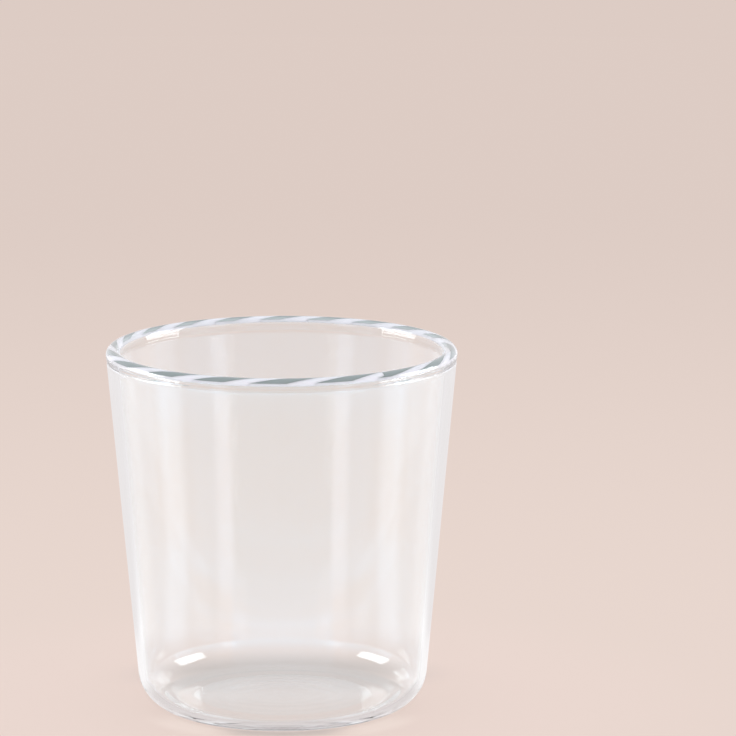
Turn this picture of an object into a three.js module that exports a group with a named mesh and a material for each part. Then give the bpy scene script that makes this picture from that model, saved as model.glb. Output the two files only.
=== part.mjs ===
// Tumbler with a twisted cane rim: a tapered cup of clear blown glass with a round heel and,
// along its lip, a cane of two grey-green and two milk-white strands twisted together.
// Millimetres, +Z up. The origin is on the cup's axis, on the surface that it stands on.
// The front of the cup faces -Y, and angles round the rim run from there towards +X.

import * as THREE from 'three';

// Cup
const rimDiameter = 86;
const overallHeight = 90;
const wallTaperDegrees = 5.27;
const wallThickness = 1.9;
const lipWallThickness = 2.95;
const baseThickness = 3;
const heelRadius = 9.7;
const puntRise = 0.3;
const standingRingWidth = 4;

// Lip: a thin edge laps each side of the cane, and the wall swells inwards to carry it
const lipLapThickness = 0.2;
const lipSwellHeight = 2.5;

// Rim cane
const caneDiameter = 2.8;
const seamAngleDegrees = 35;
const twistTurns = 9.44;
const twistStartDegrees = -151;
const twistUnevennessDegrees = 67;
const lagTurnDegrees = 35;
const lagAngleDegrees = 315;
const lagReachDegrees = 25;
const endTurnDegrees = 45;
const endTurnReachDegrees = 10;

// Clearances that keep the fused pieces apart as solids
const seatClearance = 0.12;
const strandClearance = 0.06;
const seamClearance = 0.3;

// Facets
const cupSegments = 72;
const caneSteps = 144;
const strandArcSegments = 4;
const heelArcSegments = 8;
const puntSegments = 3;
const seatArcSegments = 8;
const lipSwellSegments = 8;

// Glass colours
const clearGlass = { color: 0xe6ebea, roughness: 0.04, metalness: 0, transparent: true, opacity: 0.35 };
const greyGreenGlass = { color: 0x8aa6a1, roughness: 0.12, metalness: 0 };
const milkWhiteGlass = { color: 0xdcdae0, roughness: 0.12, metalness: 0 };

const radians = THREE.MathUtils.degToRad;

const caneRadius = caneDiameter / 2;
const caneCentreHeight = overallHeight - caneRadius;
const seatRadius = caneRadius + seatClearance;
const lipOuterRadius = rimDiameter / 2;
const caneRingRadius = lipOuterRadius - lipLapThickness - seatRadius;
const lipInnerRadius = caneRingRadius - seatRadius - lipLapThickness;

const taper = radians(wallTaperDegrees);

function outerWallRadius(height) {
  return lipOuterRadius - (caneCentreHeight - height) * Math.tan(taper);
}

// The wall thickens evenly from the top of the heel to the lip
function innerWallRadius(height) {
  const share = (height - heelRadius) / (caneCentreHeight - heelRadius);
  const thickness = THREE.MathUtils.lerp(wallThickness, lipWallThickness, share);
  return outerWallRadius(height) - thickness / Math.cos(taper);
}

// Points of an arc in the profile plane, ends included
function arc(centre, radius, fromAngle, toAngle, segments) {
  return Array.from({ length: segments + 1 }, (_, i) => {
    const angle = THREE.MathUtils.lerp(fromAngle, toAngle, i / segments);
    return new THREE.Vector2(centre.x + radius * Math.cos(angle), centre.y + radius * Math.sin(angle));
  });
}

// Centre of the heel's round, which runs from the standing surface into the wall's outer face
const heelCentre = new THREE.Vector2(outerWallRadius(heelRadius) - heelRadius / Math.cos(taper), heelRadius);

// Underside: a shallow punt inside a flat standing ring, then the heel up to the wall
function basePoints() {
  const puntEdge = heelCentre.x - standingRingWidth;
  const points = [];
  for (let i = 0; i <= puntSegments; i++) {
    const share = i / puntSegments;
    const rise = puntRise * Math.cos(share * Math.PI / 2) ** 2;
    points.push(new THREE.Vector2(puntEdge * share, rise));
  }
  points.push(...arc(heelCentre, heelRadius, -Math.PI / 2, -taper, heelArcSegments));
  return points;
}

// Top of the lip: the outer edge, then the half-round seat that holds the cane
function lipPoints() {
  const seatCentre = new THREE.Vector2(caneRingRadius, caneCentreHeight);
  return [
    new THREE.Vector2(lipOuterRadius, caneCentreHeight),
    ...arc(seatCentre, seatRadius, 0, -Math.PI, seatArcSegments),
  ];
}

// Inner face of the lip, from the edge beside the cane down to where the wall has its own thickness
function lipSwellPoints() {
  const points = [];
  for (let i = 0; i <= lipSwellSegments; i++) {
    const share = i / lipSwellSegments;
    const height = caneCentreHeight - lipSwellHeight * share;
    const swell = THREE.MathUtils.smoothstep(1 - share, 0, 1);
    const radius = THREE.MathUtils.lerp(innerWallRadius(height), lipInnerRadius, swell);
    points.push(new THREE.Vector2(radius, height));
  }
  return points;
}

// Inside: the heel keeps the wall's thickness down to the level floor, which runs to the axis
function floorPoints() {
  const insideRadius = heelRadius - wallThickness;
  const floorAngle = -Math.asin((heelCentre.y - baseThickness) / insideRadius);
  return [
    ...arc(heelCentre, insideRadius, -taper, floorAngle, heelArcSegments),
    new THREE.Vector2(0, baseThickness),
  ];
}

// The whole cup is one closed profile, from the axis under the base round to the floor
function tumblerBody() {
  const profile = [
    ...basePoints(),
    ...lipPoints(),
    ...lipSwellPoints(),
    ...floorPoints(),
  ];
  return new THREE.LatheGeometry(profile, cupSegments).rotateX(Math.PI / 2);
}

// Turn of the cane's section at an angle round the rim. The hand-laid cane is twisted tighter
// at the back of the rim than at the front, lags in one place and has its first end turned.
function twistAt(rimAngle) {
  const fromSeam = rimAngle - radians(seamAngleDegrees);
  const unevenness = radians(twistUnevennessDegrees) * Math.sin(rimAngle);
  const fromLag = (rimAngle - radians(lagAngleDegrees)) / radians(lagReachDegrees);
  const lag = radians(lagTurnDegrees) * Math.exp(-(fromLag ** 2));
  const endTurn = radians(endTurnDegrees) * Math.exp(-fromSeam / radians(endTurnReachDegrees));
  return radians(twistStartDegrees) + twistTurns * fromSeam - unevenness - lag + endTurn;
}

// Section of one strand, a quarter of the cane: its inner edge, then the points of its arc.
// Each flank stands half the clearance back from the line between two strands.
function strandSection() {
  const halfQuarter = Math.PI / 4;
  const setBack = strandClearance / 2;
  const edge = new THREE.Vector2(setBack / Math.sin(halfQuarter), 0);
  const reach = halfQuarter - Math.asin(setBack / caneRadius);
  const axis = new THREE.Vector2(0, 0);
  return [edge, ...arc(axis, caneRadius, -reach, reach, strandArcSegments)];
}

// A place on the cane: round the rim, and out and up from the middle of the cane's section
function onCane(rimAngle, out, up) {
  const radius = caneRingRadius + out;
  return [radius * Math.sin(rimAngle), -radius * Math.cos(rimAngle), caneCentreHeight + up];
}

// One strand runs round the whole rim, from the seam back to the seam, and winds with the twist
function strand(quarter) {
  const section = strandSection();
  const count = section.length;
  const seamHalf = seamClearance / 2 / caneRingRadius;
  const first = radians(seamAngleDegrees) + seamHalf;
  const last = radians(seamAngleDegrees) + 2 * Math.PI - seamHalf;

  const places = [];
  for (let step = 0; step <= caneSteps; step++) {
    const rimAngle = THREE.MathUtils.lerp(first, last, step / caneSteps);
    const turn = twistAt(rimAngle) + quarter * Math.PI / 2;
    for (const point of section) {
      const turned = point.clone().rotateAround(new THREE.Vector2(0, 0), turn);
      places.push(...onCane(rimAngle, turned.x, turned.y));
    }
  }

  const faces = [];
  for (let step = 0; step < caneSteps; step++) {
    for (let side = 0; side < count; side++) {
      const a = step * count + side;
      const b = step * count + (side + 1) % count;
      const c = b + count;
      const d = a + count;
      // Facing flanks of two strands split along the same diagonal, so they stay apart
      const lastFlank = side === count - 1;
      faces.push(...(lastFlank ? [a, d, c, a, c, b] : [a, d, b, b, d, c]));
    }
  }

  const end = caneSteps * count;
  for (let side = 1; side < count - 1; side++) {
    faces.push(0, side, side + 1);
    faces.push(end, end + side + 1, end + side);
  }

  const geometry = new THREE.BufferGeometry();
  geometry.setAttribute('position', new THREE.Float32BufferAttribute(places, 3));
  geometry.setIndex(faces);
  geometry.computeVertexNormals();
  return geometry;
}

function piece(name, geometry, glass) {
  const mesh = new THREE.Mesh(geometry, new THREE.MeshStandardMaterial(glass));
  mesh.name = name;
  return mesh;
}

const tumbler = new THREE.Group();
tumbler.add(piece('tumbler_body', tumblerBody(), clearGlass));
for (const number of [1, 2]) {
  const quarter = 2 * (number - 1);
  tumbler.add(piece(`grey_green_strand_${number}`, strand(quarter), greyGreenGlass));
  tumbler.add(piece(`milk_white_strand_${number}`, strand(quarter + 1), milkWhiteGlass));
}

export default tumbler;
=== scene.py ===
# Tumbler with a twisted cane rim, dressed for rendering: the clear cup and the four strands of
# its rim as fine meshes over the solids of the frame, in metres, with procedural glass.

import math

import bpy
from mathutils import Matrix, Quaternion, Vector


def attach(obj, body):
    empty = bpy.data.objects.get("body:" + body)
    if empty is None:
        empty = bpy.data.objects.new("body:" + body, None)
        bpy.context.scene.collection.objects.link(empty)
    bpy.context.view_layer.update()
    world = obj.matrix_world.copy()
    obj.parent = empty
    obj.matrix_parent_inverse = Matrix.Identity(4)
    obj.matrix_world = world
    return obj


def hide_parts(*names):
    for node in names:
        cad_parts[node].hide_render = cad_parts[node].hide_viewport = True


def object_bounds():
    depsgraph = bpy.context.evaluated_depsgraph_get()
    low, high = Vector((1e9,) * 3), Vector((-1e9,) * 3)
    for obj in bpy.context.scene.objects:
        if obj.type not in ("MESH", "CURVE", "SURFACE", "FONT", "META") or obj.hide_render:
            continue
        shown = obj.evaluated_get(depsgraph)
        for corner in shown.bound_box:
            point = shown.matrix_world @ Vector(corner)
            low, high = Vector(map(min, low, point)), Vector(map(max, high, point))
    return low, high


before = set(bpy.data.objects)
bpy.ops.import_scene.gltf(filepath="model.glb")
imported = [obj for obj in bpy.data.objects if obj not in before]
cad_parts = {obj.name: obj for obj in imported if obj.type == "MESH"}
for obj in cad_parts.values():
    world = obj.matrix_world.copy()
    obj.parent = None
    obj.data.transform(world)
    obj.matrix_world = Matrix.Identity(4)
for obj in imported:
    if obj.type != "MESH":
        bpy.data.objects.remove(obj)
cad_low, cad_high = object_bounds()

MM = 0.001

# Camera of the photograph, in pixels of its square frame
PHOTO_SIDE = 736
PHOTO_FOCAL = 5253.4
SENSOR = 36.0
CAMERA_BACK = 1263.0 * MM
CAMERA_UP = 328.2 * MM
CAMERA_DOWNWARD = math.radians(10.92)
CAMERA_RIGHTWARD = math.radians(0.958)
CLIP_START = 50.0 * MM

# Cup
LIP_OUTER = cad_high.x
TAPER = math.radians(5.27)
WALL = 1.9 * MM
LIP_WALL = 2.95 * MM
BASE = 3.0 * MM
HEEL_RADIUS = 9.7 * MM
FLOOR_BLEND = 0.3 * MM
PUNT_RISE = 0.3 * MM
STANDING_RING = 4.0 * MM

# Lip: a bead of clear glass with a round crown, and a slight neck in the wall under it
BEAD_HALF = 1.72 * MM
BEAD_SIDE = 1.55 * MM
NECK_DEPTH = 0.08 * MM
NECK_REACH = 0.95 * MM
CREASE_REACH = 1.2 * MM
SWELL_REACH = 2.5 * MM

# Cap: the half-sunk cane, which shows as the top of the bead's crown. White runs along both of
# its edges, and the grey-green strands come up between these angles of the crown.
CAP_OUTER = math.radians(3)
CAP_INNER = math.radians(166)
GREEN_OUTER = math.radians(25)
GREEN_INNER = math.radians(140)
CAP_SUNK = 0.1 * MM
SUNK_REACH = 0.8 * BEAD_HALF

# Marks of hand work: slow waves in the wall and rings in the floor. Each wave of the wall has a
# share, a count of crests round the cup, a lean up the wall and a start.
WAVE_DEPTH = 0.03 * MM
WALL_WAVES = ((1.0, 2, 5, 0), (0.6, 3, -8, 1))
RIPPLE_DEPTH = 0.01 * MM
RIPPLE_SPACING = 5.0 * MM
RIPPLE_START = 6.0 * MM
RIPPLE_EXTENT = 30.0 * MM

# Twist of the rim cane
SEAM_ANGLE = math.radians(35)
SEAM_GAP = 0.04 * MM
TWIST_TURNS = 9.44
TWIST_START = math.radians(-151)
TWIST_UNEVENNESS = math.radians(67)
LAG_TURN = math.radians(35)
LAG_ANGLE = math.radians(315)
LAG_REACH = math.radians(25)
SEAM_TURN = math.radians(45)
SEAM_REACH = math.radians(10)
STRAND_TIP = math.radians(1.5)
GREEN_HALF_OUTER = math.radians(52)
GREEN_HALF_INNER = math.radians(38)
EDGE_RAMP = math.radians(4)
HALVINGS = 40

# Steps of the meshes
CUP_COLUMNS = 256
PUNT_STEPS = 16
HEEL_STEPS = 40
WALL_STEPS = 34
LIP_STEPS = 72
CAP_OUTER_STEPS = 4
CAP_SUNK_STEPS = 6
CAP_INNER_STEPS = 8
INSIDE_HEEL_STEPS = 60
INSIDE_FLOOR_STEPS = 80
FLOOR_COLUMNS = 128
STRAND_STEP = math.radians(0.4)
STRAND_ARC_STEPS = 12
STRAND_SHARP = math.radians(50)

CROWN_HEIGHT = cad_high.z - BEAD_HALF
CANE_RING = LIP_OUTER - BEAD_HALF
CREASE_HEIGHT = CROWN_HEIGHT - BEAD_SIDE
CAP_FLOOR = CROWN_HEIGHT + BEAD_HALF * math.sin(CAP_OUTER)


def lerp(start, end, share):
    return start + (end - start) * share


def smooth(share):
    """0 below 0, 1 above 1, and an even S between them."""
    share = min(max(share, 0), 1)
    return share * share * (3 - 2 * share)


def radians(*degrees):
    return tuple(math.radians(angle) for angle in degrees)


def spaced(start, end, steps):
    return [lerp(start, end, i / steps) for i in range(steps + 1)]


# Meshes

def mesh_piece(name, points, faces, material, sharp_angle=None):
    """A smooth-shaded mesh object made of points and faces."""
    mesh = bpy.data.meshes.new(name)
    mesh.from_pydata(points, [], faces)
    mesh.validate()
    mesh.shade_smooth()
    if sharp_angle is not None:
        mesh.set_sharp_from_angle(angle=sharp_angle)
    mesh.materials.append(material)
    piece = bpy.data.objects.new(name, mesh)
    bpy.context.scene.collection.objects.link(piece)
    return piece


def outer_wall(height):
    return LIP_OUTER - (CROWN_HEIGHT - height) * math.tan(TAPER)


def inner_wall(height):
    """Inner face of the wall, which thickens evenly from the heel to the lip."""
    thickness = lerp(WALL, LIP_WALL, (height - HEEL_RADIUS) / (CROWN_HEIGHT - HEEL_RADIUS))
    return outer_wall(height) - thickness / math.cos(TAPER)


def arc(centre, radius, start, end, steps):
    """Points of an arc in the cup's profile."""
    return [
        (centre[0] + radius * math.cos(a), centre[1] + radius * math.sin(a))
        for a in spaced(start, end, steps)
    ]


def round_centre(wall, floor_level, radius):
    """Centre of a round that touches a wall line and stands on a level floor."""
    height = floor_level + radius
    return wall(height) - radius / math.cos(TAPER), height


def outer_lip(height):
    """Outer face near the lip: the wall's line, drawn in round the crease under the bead."""
    above = height - CREASE_HEIGHT
    reach = CREASE_REACH if above > 0 else NECK_REACH
    draw_in = math.cos(math.pi / 2 * min(abs(above) / reach, 1)) ** 2
    return outer_wall(height) - NECK_DEPTH * draw_in


def inner_lip(height):
    """Inner face near the lip: the wall thickens towards the bead and runs into its side."""
    swell = smooth(1 - (CROWN_HEIGHT - height) / SWELL_REACH)
    return lerp(inner_wall(height), LIP_OUTER - 2 * BEAD_HALF, swell)


def floor_height(radius):
    """Height of the inside floor, with the faint rings left by spinning the hot glass."""
    fade = smooth(radius / RIPPLE_START - 1) * math.exp(-((radius / RIPPLE_EXTENT) ** 6))
    return BASE + RIPPLE_DEPTH * fade * math.cos(2 * math.pi * radius / RIPPLE_SPACING)


def inside_of_base(radius, heel_height):
    """The higher of the floor and the inside of the heel, blended where they meet."""
    ground = floor_height(radius)
    blend = math.hypot(heel_height - ground, FLOOR_BLEND)
    return (heel_height + ground + blend) / 2


def cup_profile():
    """The cup's section from the axis under the base, up the outside and down the inside."""
    heel = round_centre(outer_wall, 0, HEEL_RADIUS)
    punt_edge = heel[0] - STANDING_RING
    profile = [
        (punt_edge * s, PUNT_RISE * math.cos(s * math.pi / 2) ** 2) for s in spaced(0, 1, PUNT_STEPS)
    ]
    profile += arc(heel, HEEL_RADIUS, -math.pi / 2, -TAPER, HEEL_STEPS)
    neck_bottom = CROWN_HEIGHT - SWELL_REACH
    lip_heights = spaced(neck_bottom, CROWN_HEIGHT, LIP_STEPS)
    wall_heights = spaced(profile[-1][1], neck_bottom, WALL_STEPS)
    profile += [(outer_wall(z), z) for z in wall_heights[1:-1]]
    profile += [(outer_lip(z), z) for z in lip_heights]

    # The crown's top lies out of sight inside the cap
    crown = (CANE_RING, CROWN_HEIGHT)
    outer_edge = arc(crown, BEAD_HALF, 0, CAP_OUTER, CAP_OUTER_STEPS)
    inner_edge = arc(crown, BEAD_HALF, CAP_INNER, math.pi, CAP_INNER_STEPS)
    profile += outer_edge[1:]
    profile += [
        (
            CANE_RING + lerp(SUNK_REACH, -SUNK_REACH, s),
            lerp(outer_edge[-1][1], inner_edge[0][1], s) + CAP_SUNK,
        )
        for s in spaced(0, 1, CAP_SUNK_STEPS)
    ]
    profile += inner_edge

    profile += [(inner_lip(z), z) for z in lip_heights[::-1]][1:]
    turn = arc(heel, HEEL_RADIUS - WALL, -TAPER, -math.pi / 2, INSIDE_HEEL_STEPS)
    wall_heights = spaced(neck_bottom, turn[0][1], WALL_STEPS)
    profile += [(inner_wall(z), z) for z in wall_heights[1:-1]]
    profile += [(r, inside_of_base(r, z)) for r, z in turn[:-1]]
    floor_radii = spaced(heel[0], 0, INSIDE_FLOOR_STEPS)
    profile += [(r, inside_of_base(r, turn[-1][1])) for r in floor_radii]
    return profile


def wall_wave(angle, height):
    """How far the hand-blown wall draws in at a place, at most twice the wave's depth."""
    span = (height - HEEL_RADIUS) / (CROWN_HEIGHT - SWELL_REACH - HEEL_RADIUS)
    if not 0 < span < 1:
        return 0
    wave = sum(
        share * math.sin(crests * angle + lean * span + start)
        for share, crests, lean, start in WALL_WAVES
    )
    most = sum(share for share, *_ in WALL_WAVES)
    return WAVE_DEPTH * (1 + wave / most) * math.sin(math.pi * span) ** 2


def tumbler_body(material):
    """The clear cup: its profile turned about the axis, closed at both ends on the axis."""
    profile = cup_profile()
    rows = profile[1:-1]
    points = [(0, 0, profile[0][1])]
    for radius, height in rows:
        for column in range(CUP_COLUMNS):
            angle = 2 * math.pi * column / CUP_COLUMNS
            reach = radius - wall_wave(angle, height)
            points.append((reach * math.sin(angle), -reach * math.cos(angle), height))
    points.append((0, 0, profile[-1][1]))

    def at(row, column):
        return 1 + row * CUP_COLUMNS + column % CUP_COLUMNS

    faces = []
    last = len(rows) - 1
    for column in range(CUP_COLUMNS):
        faces.append((0, at(0, column + 1), at(0, column)))
        faces.append((len(points) - 1, at(last, column), at(last, column + 1)))
        for row in range(last):
            faces.append(
                (at(row, column), at(row, column + 1), at(row + 1, column + 1), at(row + 1, column))
            )
    return mesh_piece("clear_cup", points, faces, material)


RIM_START = SEAM_ANGLE + SEAM_GAP / 2 / CANE_RING
RIM_END = SEAM_ANGLE + 2 * math.pi - SEAM_GAP / 2 / CANE_RING


def twist_at(rim_angle):
    """Turn of the cane's section at an angle round the rim, tighter at the back than in front.

    The hand-laid twist lags at the left of the front, and its first end is turned at the seam.
    """
    laid = TWIST_TURNS * (rim_angle - SEAM_ANGLE) - TWIST_UNEVENNESS * math.sin(rim_angle)
    lag = LAG_TURN * math.exp(-(((rim_angle - LAG_ANGLE) / LAG_REACH) ** 2))
    end_turn = SEAM_TURN * math.exp((SEAM_ANGLE - rim_angle) / SEAM_REACH)
    return TWIST_START + laid - lag + end_turn


def rim_angle_of(turn):
    """Angle round the rim where the twist reaches a turn, or the rim's end on that side."""
    low, high = RIM_START, RIM_END
    for _ in range(HALVINGS):
        middle = (low + high) / 2
        if twist_at(middle) < turn:
            low = middle
        else:
            high = middle
    return low


GREEN_REACH = GREEN_INNER - GREEN_OUTER
OUTER_EDGE = (CAP_OUTER - GREEN_OUTER) / GREEN_REACH * math.pi
INNER_EDGE = math.pi + (CAP_INNER - GREEN_INNER) / GREEN_REACH * math.pi

# Where the sides of a white strand lie on the cap, by the turn that the twist gives them. White
# fills the cap's edges below and above a grey-green strand.
WHITE_LOW = (
    (-EDGE_RAMP, OUTER_EDGE),
    (0, 0),
    (math.pi, math.pi),
    (math.pi + 2 * GREEN_HALF_INNER, math.pi),
    (math.pi + 2 * GREEN_HALF_INNER + EDGE_RAMP, INNER_EDGE),
)
WHITE_HIGH = (
    (-2 * GREEN_HALF_OUTER - EDGE_RAMP, OUTER_EDGE),
    (-2 * GREEN_HALF_OUTER, 0),
    (0, 0),
    (math.pi, math.pi),
    (math.pi + EDGE_RAMP, INNER_EDGE),
)

# First and last turn of a strand's middle at which some of it shows
GREEN_SPAN = (-GREEN_HALF_OUTER, math.pi + GREEN_HALF_INNER)
WHITE_SPAN = (GREEN_SPAN[0] - EDGE_RAMP - math.pi / 2, GREEN_SPAN[1] + EDGE_RAMP + math.pi / 2)


def along(stops, turn):
    """Height of a line through these stops at a turn, level past both ends."""
    for (start, low), (end, high) in zip(stops, stops[1:]):
        if turn < end:
            return lerp(low, high, max(turn - start, 0) / (end - start))
    return stops[-1][1]


def green_half(middle):
    """Half the width of a grey-green strand, which narrows from the outside of the rim inwards."""
    return along(((0, GREEN_HALF_OUTER), (math.pi, GREEN_HALF_INNER)), middle)


def green_sides(middle):
    """Both sides of a grey-green strand on the cap. It dips under the white at half a turn."""
    shown = ((0, 0), (math.pi, math.pi))
    return along(shown, middle - green_half(middle)), along(shown, middle + green_half(middle))


def white_sides(middle):
    """Both sides of a white strand, along the grey-green strands below and above it."""
    below = middle - math.pi / 2
    above = middle + math.pi / 2
    return along(WHITE_LOW, below + green_half(below)), along(WHITE_HIGH, above - green_half(above))


def on_crown(rim_angle, cane_angle):
    """A place on the cap, by the angle in the cane. Half a turn takes in the grey-green part."""
    angle = lerp(GREEN_OUTER, GREEN_INNER, cane_angle / math.pi)
    reach = CANE_RING + BEAD_HALF * math.cos(angle)
    height = CROWN_HEIGHT + BEAD_HALF * math.sin(angle)
    return reach * math.sin(rim_angle), -reach * math.cos(rim_angle), height


def strand(name, quarter, span, sides, material):
    """One strand of the cane: the stretches of it that lie on top of the rim.

    A strand is a quarter of the cane. It comes up at the cap's outer edge, winds over the top and
    goes down at the inner edge, where the clear lip has swallowed the lower half of the cane.
    """
    count = STRAND_ARC_STEPS + 2
    points = []
    faces = []
    laps = round(TWIST_TURNS) + 3
    for lap in range(-2, laps):
        offset = quarter * math.pi / 2 - lap * 2 * math.pi
        enter = rim_angle_of(span[0] + STRAND_TIP - offset)
        leave = rim_angle_of(span[1] - STRAND_TIP - offset)
        if leave - enter < STRAND_STEP / 4:
            continue
        first = len(points)
        steps = math.ceil((leave - enter) / STRAND_STEP)
        for rim_angle in spaced(enter, leave, steps):
            low, high = sides(twist_at(rim_angle) + offset)
            middle = (CANE_RING * math.sin(rim_angle), -CANE_RING * math.cos(rim_angle))
            points.append((*middle, CAP_FLOOR))
            points += [on_crown(rim_angle, angle) for angle in spaced(low, high, STRAND_ARC_STEPS)]

        faces.append(tuple(first + i for i in range(count)))
        faces.append(tuple(first + steps * count + i for i in reversed(range(count))))
        for step in range(steps):
            for side in range(count):
                a = first + step * count + side
                b = first + step * count + (side + 1) % count
                faces.append((a, a + count, b + count, b))
    return mesh_piece(name, points, faces, material, sharp_angle=STRAND_SHARP)


# Shaders

class Value:
    """A shader socket that takes part in sums: arithmetic on it adds Math nodes."""

    def __init__(self, shader, socket):
        self.shader = shader
        self.socket = socket

    def math(self, operation, first, second):
        return self.shader.node("ShaderNodeMath", {"operation": operation}, {0: first, 1: second})[0]

    def __add__(self, other):
        return self.math("ADD", self, other)

    def __sub__(self, other):
        return self.math("SUBTRACT", self, other)

    def __rsub__(self, other):
        return self.math("SUBTRACT", other, self)

    def __mul__(self, other):
        return self.math("MULTIPLY", self, other)

    def __pow__(self, other):
        return self.math("POWER", self, other)

    def __lt__(self, other):
        return self.math("LESS_THAN", self, other)

    def __gt__(self, other):
        return self.math("GREATER_THAN", self, other)

    __radd__ = __add__
    __rmul__ = __mul__


class Made:
    """A node whose outputs are read by name or number."""

    def __init__(self, shader, node):
        self.shader = shader
        self.outputs = node.outputs

    def __getitem__(self, name):
        return Value(self.shader, self.outputs[name])


class Shader:
    """The node tree of a material, the world or a lamp."""

    def __init__(self, owner):
        owner.use_nodes = True
        self.tree = owner.node_tree
        self.tree.nodes.clear()

    def node(self, kind, settings=None, sockets=None):
        """Any node: its settings are set first, then the values or links of its sockets."""
        node = self.tree.nodes.new(kind)
        for name, setting in (settings or {}).items():
            setattr(node, name, setting)
        for name, given in (sockets or {}).items():
            if isinstance(given, Value):
                self.tree.links.new(given.socket, node.inputs[name])
            else:
                node.inputs[name].default_value = given
        return Made(self, node)

    def mix(self, factor, first, second):
        """A colour between two colours."""
        return self.node("ShaderNodeMix", {"data_type": "RGBA"}, {0: factor, 6: first, 7: second})[2]

    def tinted(self, colour, tint):
        """A colour or a place multiplied by another, part by part."""
        return self.node("ShaderNodeVectorMath", {"operation": "MULTIPLY"}, {0: colour, 1: tint})[0]

    def ease(self, value, low, high):
        """0 where a value is at low, 1 where it is at high, and an even S between them."""
        return self.node(
            "ShaderNodeMapRange",
            {"interpolation_type": "SMOOTHSTEP"},
            {"Value": value, "From Min": low, "From Max": high},
        )["Result"]


def material_shader(name):
    material = bpy.data.materials.new(name)
    return material, Shader(material)


def noise(shader, place, scale, detail=2.0):
    return shader.node(
        "ShaderNodeTexNoise",
        {"noise_dimensions": "3D"},
        {"Vector": place, "Scale": scale, "Detail": detail},
    )["Fac"]


# Scales of the noise in the glass and the floor, higher for finer, and the clouds' share of streaks
STREAK_SCALE = 60.0
MARK_SCALE = 420.0
CLOUD_SCALE = 260.0
FINE_SCALE = 1500.0
CLOUD_SHARE = 0.75
GRAIN_SCALE = 900.0

CLEAR_DEEP = (0.965, 0.985, 0.99, 1)
CLEAR_PALE = (0.98, 0.995, 1.0, 1)
GREEN_DEEP = (0.235, 0.275, 0.27, 1)
GREEN_PALE = (0.29, 0.33, 0.322, 1)
GREEN_INSIDE = (0.48, 0.525, 0.52, 1)
GREEN_CLARITY = 0.0
WHITE_DEEP = (0.81, 0.8, 0.86, 1)
WHITE_PALE = (0.89, 0.88, 0.94, 1)
WHITE_INSIDE = (0.84, 0.83, 0.88, 1)
WHITE_CLARITY = 0.9

# Distances from the cup's axis where the colour of a strand starts and ends turning paler inwards
INSIDE_REACH = (CANE_RING - 0.2 * BEAD_HALF, CANE_RING - 0.7 * BEAD_HALF)


def clear_glass():
    """Fire-polished clear glass with slow waves and faint handling marks."""
    material, shader = material_shader("clear_glass")
    place = shader.node("ShaderNodeTexCoord")["Object"]
    streaks = noise(shader, place, STREAK_SCALE)
    marks = noise(shader, place, MARK_SCALE, 4.0)
    tint = shader.mix(streaks, CLEAR_DEEP, CLEAR_PALE)
    bump = shader.node(
        "ShaderNodeBump", None, {"Strength": 0.04, "Distance": 0.2 * MM, "Height": streaks}
    )["Normal"]
    surface = shader.node(
        "ShaderNodeBsdfPrincipled",
        None,
        {
            "Base Color": tint,
            "Roughness": 0.012 * marks ** 3.0,
            "Normal": bump,
            "IOR": 1.473,
            "Transmission Weight": 1.0,
        },
    )["BSDF"]
    shader.node("ShaderNodeOutputMaterial", None, {"Surface": surface})
    return material


def strand_glass(name, deep, pale, inside_colour, clarity):
    """Coloured glass rod drawn into a strand: streaks of the batch, and a polished skin.

    The colour is deepest on the outside of the rim and grows paler over the top to the inside.
    """
    material, shader = material_shader(name)
    place = shader.node("ShaderNodeTexCoord")["Object"]
    cloud = noise(shader, place, CLOUD_SCALE, 3.0)
    fine = noise(shader, place, FINE_SCALE, 2.0)
    streak = cloud * CLOUD_SHARE + fine * (1 - CLOUD_SHARE)
    flat = shader.tinted(place, (1, 1, 0))
    from_axis = shader.node("ShaderNodeVectorMath", {"operation": "LENGTH"}, {0: flat})["Value"]
    inside = shader.ease(from_axis, *INSIDE_REACH)
    colour = shader.mix(inside, shader.mix(streak, deep, pale), inside_colour)
    bump = shader.node(
        "ShaderNodeBump", None, {"Strength": 0.05, "Distance": 0.05 * MM, "Height": cloud}
    )["Normal"]
    surface = shader.node(
        "ShaderNodeBsdfPrincipled",
        None,
        {
            "Base Color": colour,
            "Roughness": 0.08 + 0.1 * fine,
            "Normal": bump,
            "IOR": 1.5,
            "Coat Weight": 0.7,
            "Subsurface Weight": clarity,
            "Subsurface Radius": (1.0, 1.0, 1.0),
            "Subsurface Scale": 1.2 * MM,
        },
    )["BSDF"]
    shader.node("ShaderNodeOutputMaterial", None, {"Surface": surface})
    return material


# Studio

FLOOR_RADIUS = 1.3
FLOOR_COLOUR = (0.83, 0.685, 0.625, 1)
FLOOR_GRAIN = (0.8, 0.655, 0.595, 1)
GRAIN_SHARE = 0.06
BACKDROP_LOW = (0.808, 0.679, 0.622, 1)
BACKDROP_HIGH = (0.723, 0.604, 0.553, 1)

# Each pair below is where a mark starts to show and where it shows in full. Reaches are distances
# from the axis along the floor in metres, and turns are angles round from the front.

# The floor's own colour gives way to the backdrop's, but never wholly
FLOOR_EVEN = 0.85
FLOOR_FADE = 0.8
FADE_REACH = (0.05, 0.12)
FADE_MOST = 0.98
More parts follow.
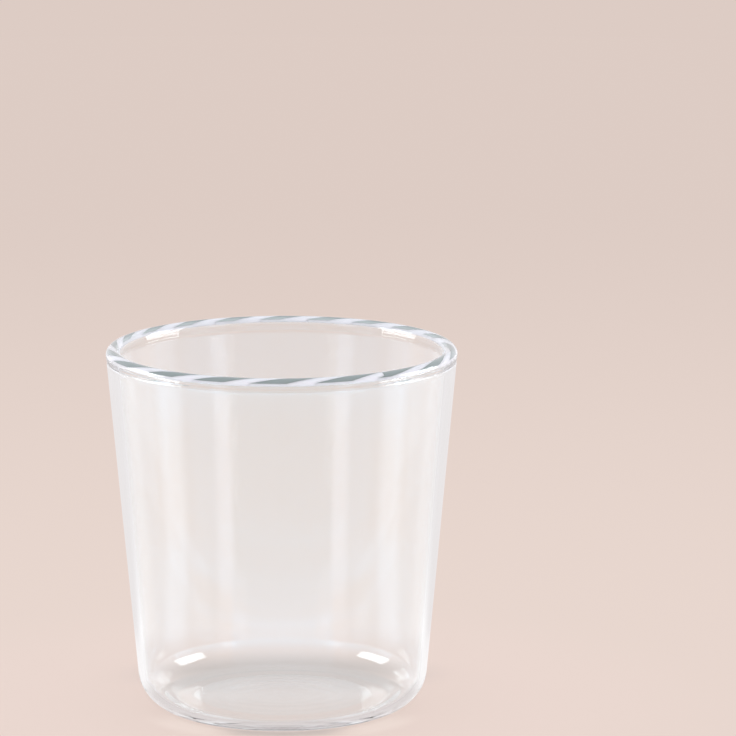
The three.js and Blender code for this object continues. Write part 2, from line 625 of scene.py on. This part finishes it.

# Painted shade next to the base, and painted light that the heel throws on the floor at both sides
# of the front
CONTACT_SHADE = (0.76, 0.8, 0.82, 1)
SHADE_CONTACT_END = (0.035, 0.029)
SHADE_BEHIND_TURN = radians(85, 130)
SHADE_BEHIND_REACH = (0.006, 0.023)
SHADE_AHEAD_TURN = radians(42, 15)
SHADE_AHEAD_REACH = (0.026, 0.029)
SHADE_WIDER_TURN = radians(112, 150)
SHADE_WIDER_START = (0.029, 0.035)
SHADE_WIDER_END = (0.058, 0.038)
CAUSTIC_GLOW = (1.08, 1.11, 1.11, 1)
CAUSTIC_TURN_START = radians(18, 40)
CAUSTIC_TURN_END = radians(75, 50)
CAUSTIC_START = (0.028, 0.031)
CAUSTIC_END = (0.039, 0.034)

# Painted reflection of a white studio, shown only to what the glass mirrors. A sector is a start, an
# end and half the soft edge.
GLOW_AHEAD = (1.15, 1.33, 1.44, 1)
GLOW_NEAR = (1.45, 2.0, 2.45, 1)
NEAR_REACH = (0.145, 0.105)
GLOW_ROUND = (1.3, 1.48, 1.62, 1)
ROUND_SECTOR = radians(33.5, 190, 1.5)
GLOW_STRIP = (1.75, 1.92, 2.1, 1)
STRIP_SECTOR = radians(32.5, 43, 0.6)
GLOW_ASIDE = (1.3, 1.3, 1.31, 1)
ASIDE_TURN = radians(86, 112)
GLOW_BEHIND = (0.84, 0.8, 0.8, 1)
BEHIND_TURN = radians(108, 140)
GLOW_BAND = (1.8, 2.15, 2.45, 1)
BAND_SECTOR = radians(67.5, 86, 3)
GLOW_FOOT = (0.73, 0.67, 0.66, 1)
GLOW_FOOT_SIDE = (0.98, 0.95, 0.95, 1)
FOOT_SIDE_SECTOR = radians(95, 155, 18)
FOOT_REACH = (0.1, 0.07)
MIDDLE_TINT = (0.95, 0.72, 0.57, 1)
MIDDLE_START = (0.14, 0.19)
MIDDLE_END = (0.3, 0.24)
MIDDLE_TURN = radians(110, 70)
FAR_TINT = (1.0, 1.3, 1.48, 1)
FAR_REACH = (0.42, 0.56)
FAR_TURN = radians(100, 60)
FAR_SIDE_TINT = (1.4, 1.48, 1.55, 1)
FAR_SIDE_REACH = (0.5, 0.58)
FAR_SIDE_SECTOR = radians(105, 165, 12)
SPREAD = 0.19
SPREAD_REACH = (0.3, 0.4)
GLOW_ABOVE = (0.8, 0.83, 0.85, 1)
ABOVE_RISE = (0.0, 0.7)
NO_TINT = (1, 1, 1, 1)

SOFT_LIGHT = (1.05, 1.08, 1.14, 1)
LIGHT_COLOUR = (0.93, 0.985, 1.0)


def seen_straight(shader):
    """1 on a ray from the camera that nothing has reflected, straight or through clear glass."""
    path = shader.node("ShaderNodeLightPath")
    reflected = path["Glossy Depth"] + path["Diffuse Depth"]
    return (path["Is Camera Ray"] + path["Is Transmission Ray"]) * (reflected < 0.5)


def mirrored_only(shader):
    """1 on a ray that has been mirrored and never scattered by something matt."""
    path = shader.node("ShaderNodeLightPath")
    return (path["Glossy Depth"] > 0.5) * (path["Diffuse Depth"] < 0.5)


def around(shader, place):
    """How far a place lies round from the front, on either side, and how far from the axis."""
    parts = shader.node("ShaderNodeSeparateXYZ", None, {"Vector": place})
    azimuth = parts["X"].math("ARCTAN2", parts["X"], 0 - parts["Y"])
    turn = azimuth.math("ABSOLUTE", azimuth, 0)
    away = shader.node("ShaderNodeVectorMath", {"operation": "LENGTH"}, {0: place})["Value"]
    return turn, away


def painted_studio_glow(shader, place):
    """A painted reflection of a white studio for the glass to mirror, by the azimuth of a place or
    direction.

    It paints the table shining close to the glass, and white cards on both sides with a bright strip
    at their front edge and a bright band in their middle, and none behind the glass. No cards stand
    in the scene.
    """
    turn, away = around(shader, place)

    # The back wall mirrors places further round than the front wall does at the same spot of the
    # picture, so the marks far away are spread to fall in line with the near ones
    seen = turn * (1 - SPREAD * shader.ease(away, *SPREAD_REACH))

    def sector(angle, start, end, soft):
        enter = shader.ease(angle, start - soft, start + soft)
        leave = shader.ease(angle, end + soft, end - soft)
        return enter * leave

    glow = shader.mix(shader.ease(away, *NEAR_REACH), GLOW_AHEAD, GLOW_NEAR)
    glow = shader.mix(sector(seen, *ROUND_SECTOR), glow, GLOW_ROUND)
    glow = shader.mix(sector(seen, *STRIP_SECTOR), glow, GLOW_STRIP)
    glow = shader.mix(shader.ease(turn, *ASIDE_TURN), glow, GLOW_ASIDE)
    glow = shader.mix(shader.ease(turn, *BEHIND_TURN), glow, GLOW_BEHIND)
    glow = shader.mix(sector(seen, *BAND_SECTOR), glow, GLOW_BAND)
    foot = shader.mix(sector(turn, *FOOT_SIDE_SECTOR), GLOW_FOOT, GLOW_FOOT_SIDE)
    glow = shader.mix(shader.ease(away, *FOOT_REACH), glow, foot)

    middle = shader.ease(away, *MIDDLE_START) * shader.ease(away, *MIDDLE_END)
    tint = shader.mix(middle * shader.ease(turn, *MIDDLE_TURN), NO_TINT, MIDDLE_TINT)
    far = shader.ease(away, *FAR_REACH) * shader.ease(turn, *FAR_TURN)
    tint = shader.mix(far, tint, FAR_TINT)
    far_side = shader.ease(away, *FAR_SIDE_REACH) * sector(turn, *FAR_SIDE_SECTOR)
    return shader.tinted(glow, shader.mix(far_side, tint, FAR_SIDE_TINT))


def painted_floor_light_and_shade(shader, turn, away):
    """Painted shade and painted light next to the base, as a tint of the floor.

    The painted shade lies under the back half of the base and reaches out behind it, and a narrow
    one lies in front.
    """
    behind = shader.ease(turn, *SHADE_BEHIND_TURN) * shader.ease(away, *SHADE_BEHIND_REACH)
    ahead = shader.ease(turn, *SHADE_AHEAD_TURN) * shader.ease(away, *SHADE_AHEAD_REACH)
    wider = shader.ease(away, *SHADE_WIDER_START) * shader.ease(away, *SHADE_WIDER_END)
    contact = shader.ease(away, *SHADE_CONTACT_END) * (behind + ahead)
    contact = contact + shader.ease(turn, *SHADE_WIDER_TURN) * wider
    caustic = shader.ease(turn, *CAUSTIC_TURN_START) * shader.ease(turn, *CAUSTIC_TURN_END)
    caustic = caustic * shader.ease(away, *CAUSTIC_START) * shader.ease(away, *CAUSTIC_END)
    shade = shader.mix(contact, NO_TINT, CONTACT_SHADE)
    return shader.mix(caustic, shade, CAUSTIC_GLOW)


def floor():
    """A pale round table that fades into the backdrop at its edge.

    Most of what shows of it is its own even colour, so the shadow of the clear glass stays faint.
    Reflected in the glass it shows a painted white glow, as white cards laid round the glass would
    make it.
    """
    material, shader = material_shader("pale_floor")
    place = shader.node("ShaderNodeTexCoord")["Object"]
    path = shader.node("ShaderNodeLightPath")
    turn, away = around(shader, place)
    fade = FADE_MOST * shader.ease(away, *FADE_REACH)
    far = shader.ease(away, FADE_REACH[0], FLOOR_FADE)
    grain = noise(shader, place, GRAIN_SCALE, 3.0)
    colour = shader.mix(grain * GRAIN_SHARE, FLOOR_COLOUR, FLOOR_GRAIN)
    table = shader.node(
        "ShaderNodeBsdfPrincipled",
        None,
        {"Base Color": colour, "Roughness": 0.6, "Specular IOR Level": 0.2},
    )["BSDF"]
    backdrop = shader.mix(far, BACKDROP_LOW, BACKDROP_HIGH)
    shown = shader.mix(fade, colour, backdrop)
    # Painted shade and painted light next to the base, not cast by the glass
    shown = shader.tinted(shown, painted_floor_light_and_shade(shader, turn, away))
    mirrored = mirrored_only(shader)
    # What the glass mirrors of the floor is the painted studio reflection, not the floor's colour
    even = shader.mix(mirrored, shown, painted_studio_glow(shader, place))
    glow = shader.node("ShaderNodeEmission", None, {"Color": even})["Emission"]
    shaded = (1 - FLOOR_EVEN) * (1 - fade) * (1 - mirrored)
    share = (path["Diffuse Depth"] < 0.5) * (1 - shaded)
    mixed = shader.node("ShaderNodeMixShader", None, {0: share, 1: table, 2: glow})["Shader"]
    shader.node("ShaderNodeOutputMaterial", None, {"Surface": mixed})

    ring = [
        (FLOOR_RADIUS * math.cos(a), FLOOR_RADIUS * math.sin(a), 0)
        for a in spaced(0, 2 * math.pi, FLOOR_COLUMNS)[:-1]
    ]
    piece = mesh_piece("floor", ring, [tuple(range(len(ring)))], material)


def surroundings():
    """An even soft light for what is matt, a painted studio reflection for what mirrors it, and a
    plain backdrop.
    """
    world = bpy.data.worlds.new("studio")
    bpy.context.scene.world = world
    shader = Shader(world)
    direction = shader.node("ShaderNodeTexCoord")["Generated"]
    upward = shader.node("ShaderNodeSeparateXYZ", None, {"Vector": direction})["Z"]
    horizon = shader.node(
        "ShaderNodeVectorMath", {"operation": "SCALE"}, {0: direction, "Scale": FLOOR_FADE}
    )[0]
    # Mirrored rays see the painted studio reflection in the world as well
    glow = shader.mix(shader.ease(upward, *ABOVE_RISE), painted_studio_glow(shader, horizon), GLOW_ABOVE)
    colour = shader.mix(mirrored_only(shader), SOFT_LIGHT, glow)
    light = shader.node("ShaderNodeBackground", None, {"Color": colour})["Background"]
    backdrop = shader.node("ShaderNodeBackground", None, {"Color": BACKDROP_HIGH})["Background"]
    mixed = shader.node(
        "ShaderNodeMixShader", None, {0: seen_straight(shader), 1: light, 2: backdrop}
    )["Shader"]
    shader.node("ShaderNodeOutputWorld", None, {"Surface": mixed})


LAMP_LIGHT = 0.8
LAMP_GLEAM = 7.0
SIDE_DISTANCE = 0.3
SIDE_LOW = 0.1
SIDE_TOP = 0.22
SIDE_SPREAD = math.radians(34)
SIDE_LEAN = math.radians(8)
RIGHT_AZIMUTH = math.radians(98)
LEFT_AZIMUTH = math.radians(-96)


def softbox(name, place, facing, width, height, lean):
    """A flat lamp that faces a point. It lights what is matt softly and gleams in the glass.

    It doesn't show straight through the glass, as a lamp outside the picture wouldn't.
    """
    lamp = bpy.data.lights.new(name, "AREA")
    lamp.shape = "RECTANGLE"
    lamp.size = width
    lamp.size_y = height
    lamp.color = LIGHT_COLOUR
    lamp.energy = math.pi * width * height
    shader = Shader(lamp)
    strength = LAMP_LIGHT + (LAMP_GLEAM - LAMP_LIGHT) * mirrored_only(shader)
    strength = (1 - seen_straight(shader)) * strength
    emission = shader.node("ShaderNodeEmission", None, {"Strength": strength})["Emission"]
    shader.node("ShaderNodeOutputLight", None, {"Surface": emission})
    piece = bpy.data.objects.new(name, lamp)
    piece.location = place
    turned = (Vector(facing) - Vector(place)).to_track_quat("-Z", "Y") @ Quaternion((0, 0, 1), lean)
    piece.rotation_euler = turned.to_euler()
    piece.visible_camera = False
    bpy.context.scene.collection.objects.link(piece)


def studio_light():
    """A softbox on each side, leaning back."""
    middle = (SIDE_LOW + SIDE_TOP) / 2
    width = 2 * SIDE_DISTANCE * math.tan(SIDE_SPREAD / 2)
    for name, azimuth, lean in (
        ("right_softbox", RIGHT_AZIMUTH, -SIDE_LEAN),
        ("left_softbox", LEFT_AZIMUTH, SIDE_LEAN),
    ):
        place = (SIDE_DISTANCE * math.sin(azimuth), -SIDE_DISTANCE * math.cos(azimuth), middle)
        softbox(name, place, (0, 0, middle), width, SIDE_TOP - SIDE_LOW, lean)


def camera():
    lens = bpy.data.cameras.new("photo_camera")
    lens.sensor_width = SENSOR
    lens.lens = PHOTO_FOCAL * SENSOR / PHOTO_SIDE
    lens.clip_start = CLIP_START
    piece = bpy.data.objects.new("photo_camera", lens)
    piece.location = (0, -CAMERA_BACK, CAMERA_UP)
    piece.rotation_euler = (math.pi / 2 - CAMERA_DOWNWARD, 0, -CAMERA_RIGHTWARD)
    bpy.context.scene.collection.objects.link(piece)
    bpy.context.scene.camera = piece


def dress():
    """Puts each glass piece over its solid, on the one body of the part."""
    cup = tumbler_body(clear_glass())
    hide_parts("tumbler_body")
    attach(cup, "root")

    grey_green = strand_glass(
        "grey_green_glass", GREEN_DEEP, GREEN_PALE, GREEN_INSIDE, GREEN_CLARITY
    )
    milk_white = strand_glass(
        "milk_white_glass", WHITE_DEEP, WHITE_PALE, WHITE_INSIDE, WHITE_CLARITY
    )
    strands = (
        ("grey_green", GREEN_SPAN, green_sides, grey_green),
        ("milk_white", WHITE_SPAN, white_sides, milk_white),
    )
    for number in (1, 2):
        for offset, (colour, span, sides, material) in enumerate(strands):
            quarter = 2 * (number - 1) + offset
            twisted = strand(f"{colour}_twist_{number}", quarter, span, sides, material)
            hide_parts(f"{colour}_strand_{number}")
            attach(twisted, "root")


camera()
floor()
surroundings()
studio_light()
dress()

scene = bpy.context.scene
scene.view_settings.view_transform = "Standard"
scene.cycles.max_bounces = 40
scene.cycles.transmission_bounces = 40
scene.cycles.glossy_bounces = 24
